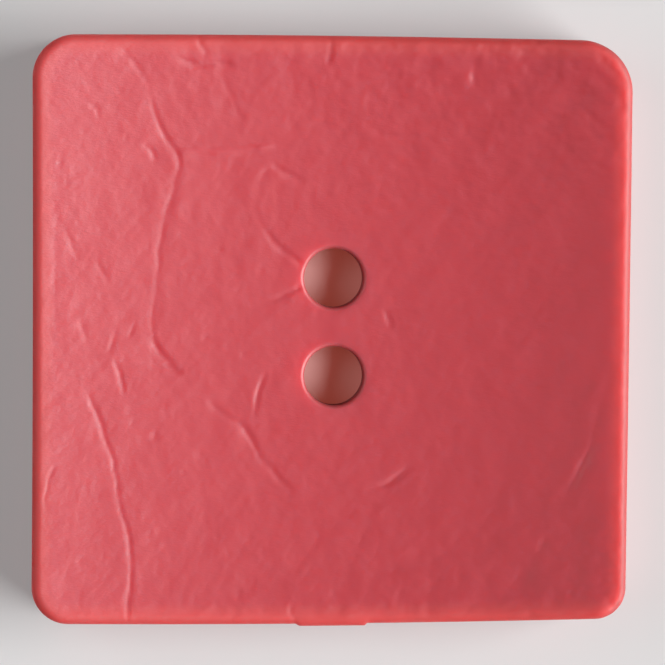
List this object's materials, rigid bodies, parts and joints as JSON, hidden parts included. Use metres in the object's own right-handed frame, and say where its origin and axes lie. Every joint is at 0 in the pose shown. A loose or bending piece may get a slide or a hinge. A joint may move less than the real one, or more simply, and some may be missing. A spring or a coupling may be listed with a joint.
{
  "type": "square two-hole sewing button",
  "caption": "Large square sewing button with rounded corners, a dished face creased like crumpled leather, a flat back and a pair of thread holes.",
  "frame": {"origin": "centre of the flat back, midway between the sides", "axes": "+Z out of the dished face, +Y up the face along the line of the two holes, +X across the face"},
  "size_m": [0.045, 0.0444, 0.0064],
  "materials": {
    "button_plastic": "satin"
  },
  "bodies": {
    "root": {"button": "button_plastic"}
  },
  "joints": []
}
